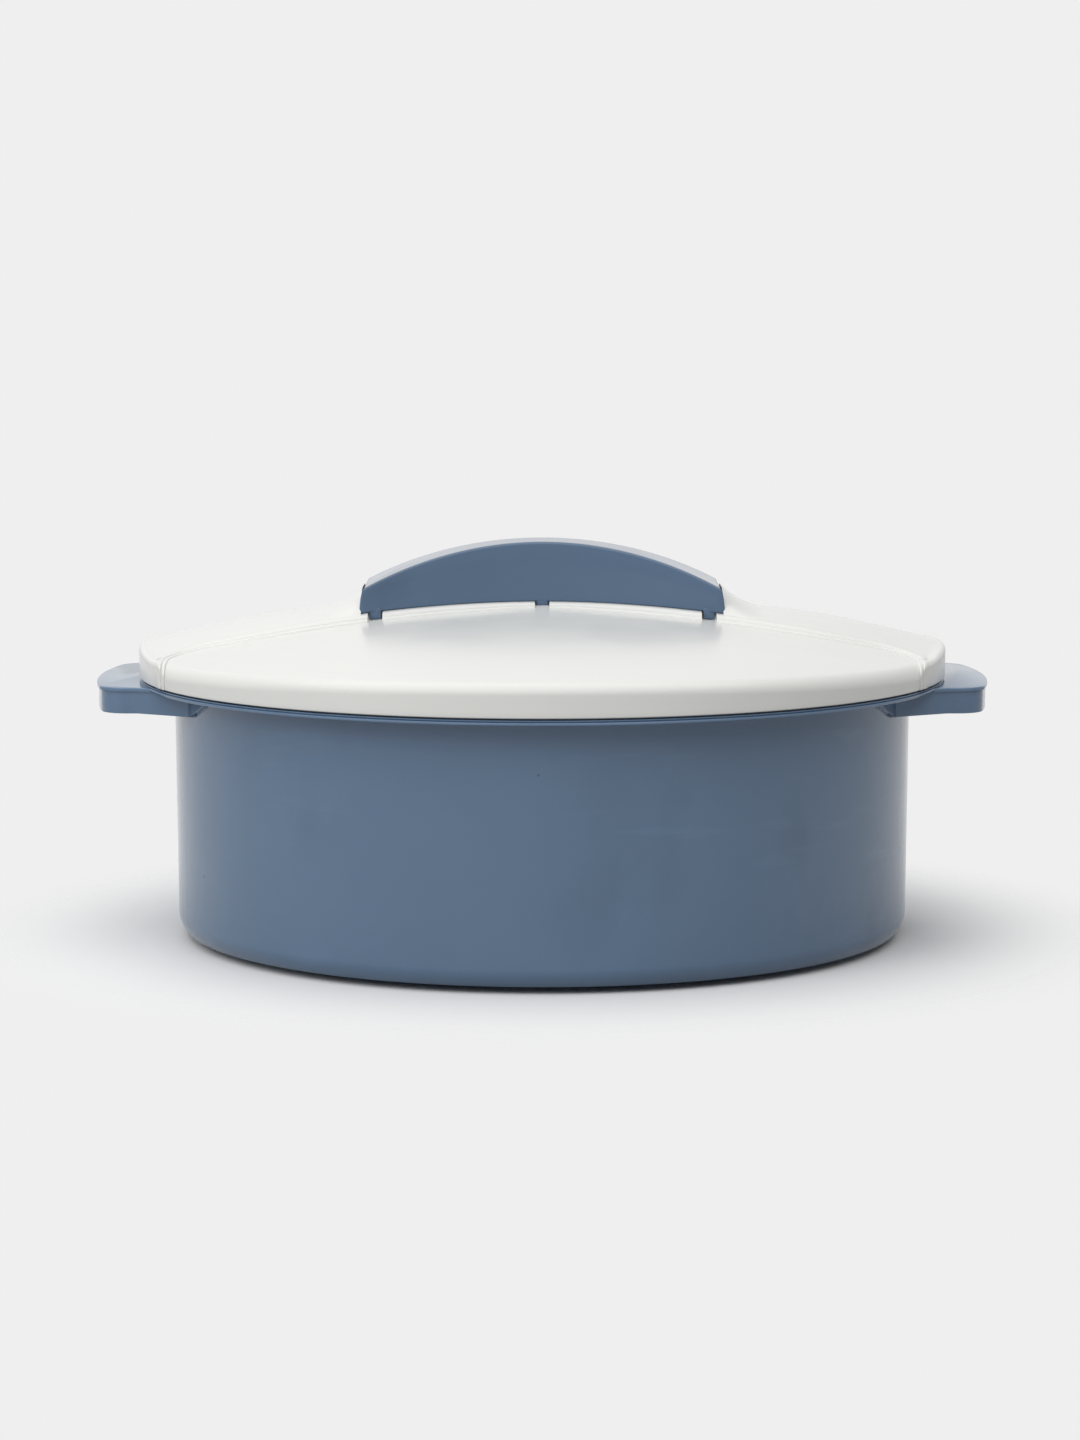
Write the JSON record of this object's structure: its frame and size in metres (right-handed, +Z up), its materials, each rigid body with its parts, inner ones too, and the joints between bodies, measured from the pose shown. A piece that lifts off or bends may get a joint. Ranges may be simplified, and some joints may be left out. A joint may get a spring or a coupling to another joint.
{
  "type": "insulated serving pot",
  "caption": "Round insulated serving pot with moulded side handles, a domed white lid that lifts off and an arched pinch-grip handle clipped onto the lid",
  "frame": {"origin": "Centre of the foot ring on the table, on the axis of the round body", "axes": "+Z up along the axis of the body, +X towards one side handle, -Y towards the viewer of the picture"},
  "size_m": [0.309, 0.28, 0.1369],
  "materials": {
    "blue_shell": "satin injection-moulded polypropylene",
    "blue_handle": "satin injection-moulded polypropylene",
    "white_lid": "glossy injection-moulded polypropylene",
    "white_bowl": "smooth food-grade polypropylene",
    "foam": "rigid polyurethane foam, moulded in place"
  },
  "bodies": {
    "base": {"outer_body": "blue_shell", "rim_ring": "blue_shell", "inner_bowl": "white_bowl", "body_foam": "foam", "base_plug": "blue_shell"},
    "lid": {"lid_shell": "white_lid", "lid_liner": "white_bowl", "lid_foam": "foam", "lid_plug": "white_bowl", "lid_handle": "blue_handle"}
  },
  "joints": [
    {"name": "lid_lift", "type": "slide", "parent": "base", "child": "lid", "axis": [0, 0, 1], "range_m": [0, 0.15]}
  ]
}
